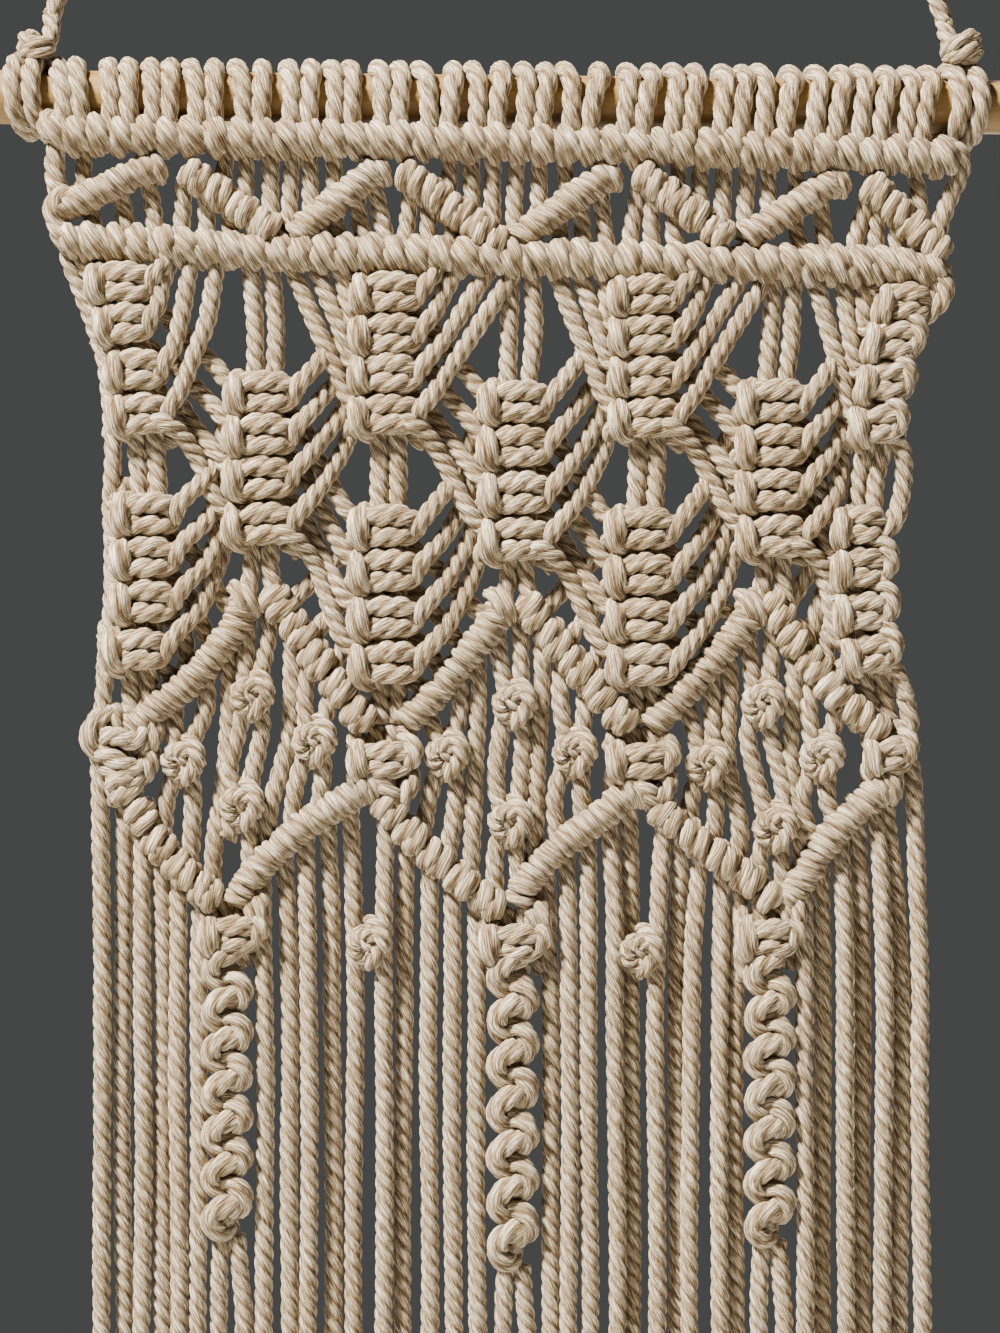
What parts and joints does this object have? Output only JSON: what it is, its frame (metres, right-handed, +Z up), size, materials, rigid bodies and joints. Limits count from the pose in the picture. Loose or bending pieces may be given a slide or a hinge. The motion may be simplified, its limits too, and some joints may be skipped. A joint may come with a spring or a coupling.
{
  "type": "macrame wall hanging on a dowel",
  "caption": "Knotted cotton wall hanging with leaf and diamond patterns and a long fringe, on a wooden dowel with a cord to hang it by.",
  "frame": {"origin": "the hanging point: underside of the bend of the hanger cord, where it rests on a nail or hook", "axes": "+Z up, +X along the dowel, the decorated face looks along -Y"},
  "size_m": [0.255, 0.0212, 0.6582],
  "materials": {
    "cotton_cord": "three-ply twisted natural cotton cord, matt and slightly hairy",
    "dowel_wood": "plain honey-coloured wood, satin"
  },
  "bodies": {
    "root": {"dowel": "dowel_wood", "hanger_cord": "cotton_cord", "hanger_knot_left": "cotton_cord", "hanger_knot_right": "cotton_cord", "heading": "cotton_cord", "zigzag_band": "cotton_cord", "row_2": "cotton_cord", "leaf_a1": "cotton_cord", "leaf_a2": "cotton_cord", "leaf_a3": "cotton_cord", "leaf_a4": "cotton_cord", "leaf_b1": "cotton_cord", "leaf_b2": "cotton_cord", "leaf_b3": "cotton_cord", "leaf_c1": "cotton_cord", "leaf_c2": "cotton_cord", "leaf_c3": "cotton_cord", "leaf_c4": "cotton_cord", "carrier_b1": "cotton_cord", "carrier_b2": "cotton_cord", "carrier_b3": "cotton_cord", "carrier_c1": "cotton_cord", "carrier_c2": "cotton_cord", "carrier_c3": "cotton_cord", "carrier_c4": "cotton_cord", "diamond_1": "cotton_cord", "diamond_2": "cotton_cord", "diamond_3": "cotton_cord", "fringe": "cotton_cord", "sennit_1": "cotton_cord", "sennit_2": "cotton_cord", "sennit_3": "cotton_cord"}
  },
  "joints": []
}
